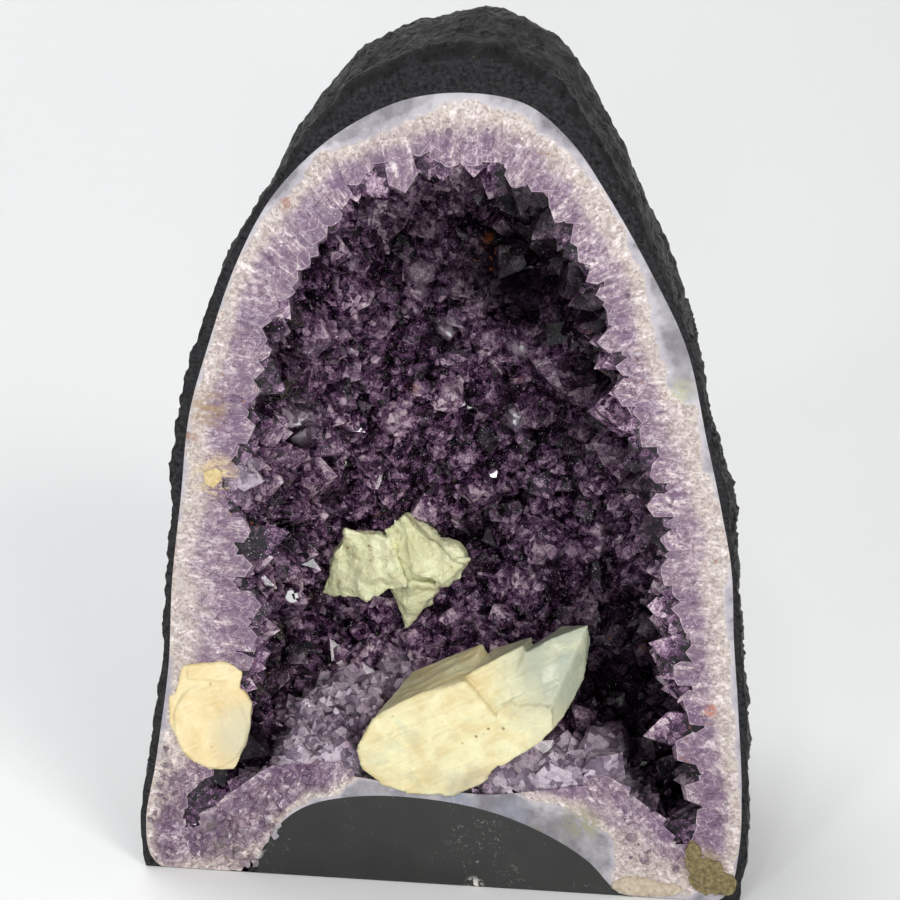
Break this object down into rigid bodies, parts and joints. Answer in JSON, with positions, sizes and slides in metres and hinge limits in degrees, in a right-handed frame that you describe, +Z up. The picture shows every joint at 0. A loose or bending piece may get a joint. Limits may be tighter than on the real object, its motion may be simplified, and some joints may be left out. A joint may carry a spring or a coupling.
{
  "type": "amethyst cathedral geode",
  "caption": "Tall arched amethyst geode, sawn open in front and flat underneath to stand, with a black rind, pale quartz rim, purple crystal cavity and cream calcites.",
  "frame": {"origin": "middle of the bounding box at the flat base", "axes": "+Z up along the geode's height; the sawn front face looks along -Y and the rock runs back along +Y; +X to the right as seen from the front"},
  "size_m": [0.2584, 0.165, 0.3639],
  "materials": {
    "basalt": "rough, painted black, satin",
    "black_cement": "smooth painted black, satin",
    "agate": "polished, translucent grey-blue",
    "pale_quartz": "polished, white to lilac",
    "dark_amethyst": "glassy crystal faces, dark purple",
    "lilac_amethyst": "glassy crystal faces, pale lilac",
    "calcite": "waxy, cream to pale yellow",
    "clay": "dull, brown",
    "beige_stone": "dull, pinkish beige"
  },
  "bodies": {
    "root": {"basalt_rind": "basalt", "footing": "black_cement", "agate_band": "agate", "quartz_lining": "pale_quartz", "calcite_front": "calcite", "calcite_left": "calcite", "calcite_back": "calcite", "clay_patch": "clay", "beige_patch": "beige_stone", "cream_patch": "calcite", "rim_point_01": "lilac_amethyst", "rim_point_02": "lilac_amethyst", "rim_point_03": "lilac_amethyst", "rim_point_04": "lilac_amethyst", "rim_point_05": "lilac_amethyst", "rim_point_06": "lilac_amethyst", "rim_point_07": "lilac_amethyst", "rim_point_08": "lilac_amethyst", "rim_point_09": "lilac_amethyst", "rim_point_10": "lilac_amethyst", "rim_point_11": "lilac_amethyst", "rim_point_12": "lilac_amethyst", "rim_point_13": "lilac_amethyst", "rim_point_14": "lilac_amethyst", "rim_point_15": "lilac_amethyst", "rim_point_16": "lilac_amethyst", "rim_point_17": "lilac_amethyst", "rim_point_18": "lilac_amethyst", "rim_point_19": "lilac_amethyst", "rim_point_20": "lilac_amethyst", "rim_point_21": "lilac_amethyst", "rim_point_22": "lilac_amethyst", "rim_point_23": "lilac_amethyst", "rim_point_24": "lilac_amethyst", "rim_point_25": "lilac_amethyst", "rim_point_26": "lilac_amethyst", "rim_point_27": "lilac_amethyst", "rim_point_28": "lilac_amethyst", "rim_point_29": "lilac_amethyst", "rim_point_30": "lilac_amethyst", "rim_point_31": "lilac_amethyst", "rim_point_32": "lilac_amethyst", "cavity_point_1": "dark_amethyst", "cavity_point_2": "dark_amethyst", "cavity_point_3": "dark_amethyst", "cavity_point_4": "dark_amethyst", "cavity_point_5": "dark_amethyst", "cavity_point_6": "dark_amethyst", "cavity_point_7": "dark_amethyst", "cavity_point_8": "dark_amethyst", "amethyst_druse_top_left": "dark_amethyst", "amethyst_druse_top_right": "dark_amethyst", "amethyst_druse_left": "dark_amethyst", "amethyst_druse_right": "dark_amethyst", "amethyst_druse_floor_left": "dark_amethyst", "amethyst_druse_floor_right": "dark_amethyst", "amethyst_druse_back_low": "dark_amethyst", "amethyst_druse_back_high": "dark_amethyst"}
  },
  "joints": []
}
